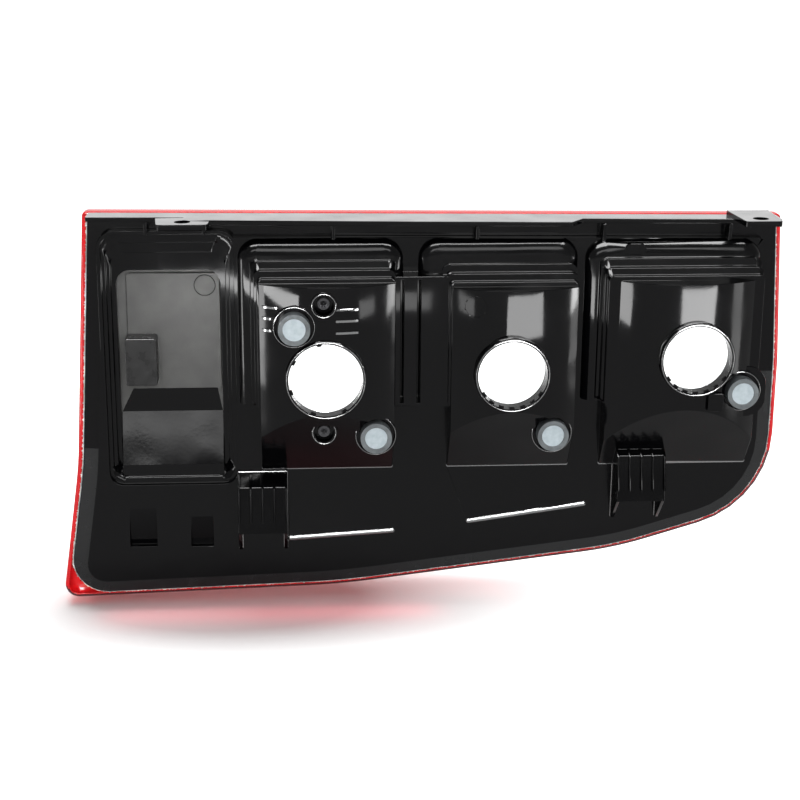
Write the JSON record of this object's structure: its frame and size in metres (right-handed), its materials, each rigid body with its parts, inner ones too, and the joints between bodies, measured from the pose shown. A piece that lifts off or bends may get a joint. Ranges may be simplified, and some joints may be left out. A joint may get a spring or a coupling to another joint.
{
  "type": "tail light cluster",
  "caption": "Rear lamp for a tall vehicle body side: black moulded housing with bulb holder holes, breather vents and a flanged edge with screw tabs, bonded to a red lens with clear windows.",
  "frame": {"origin": "midway between the two tab holes, on the upper face of the tabs", "axes": "+X along the lamp towards the end with the large rounded corner, +Z along the axes of the tab holes and away from the lamp, +Y from the housing towards the face of the lens"},
  "size_m": [0.4743, 0.1005, 0.2612],
  "materials": {
    "housing_plastic": "glossy moulded black",
    "red_lens": "glossy translucent red",
    "clear_lens": "glossy clear",
    "reflector_chrome": "vacuum metallised",
    "sealant": "glossy hot melt",
    "vent_grey": "satin",
    "membrane_pale": "matte",
    "screw_steel": "zinc plated, darkened",
    "clip_plastic": "satin"
  },
  "bodies": {
    "root": {"rear_housing": "housing_plastic", "outer_lens": "red_lens", "clear_window_left": "clear_lens", "clear_window_middle": "clear_lens", "clear_window_right": "clear_lens", "reflex_panel": "red_lens", "reflector_left": "reflector_chrome", "reflector_middle": "reflector_chrome", "reflector_right": "reflector_chrome", "sealant_bead": "sealant", "vent_cap_upper_left": "vent_grey", "vent_cap_lower_left": "vent_grey", "vent_cap_middle": "vent_grey", "vent_cap_right": "vent_grey", "vent_membrane_upper_left": "membrane_pale", "vent_membrane_lower_left": "membrane_pale", "vent_membrane_middle": "membrane_pale", "vent_membrane_right": "membrane_pale", "reflector_screw_upper": "screw_steel", "reflector_screw_lower": "screw_steel", "harness_clip": "clip_plastic"}
  },
  "joints": []
}
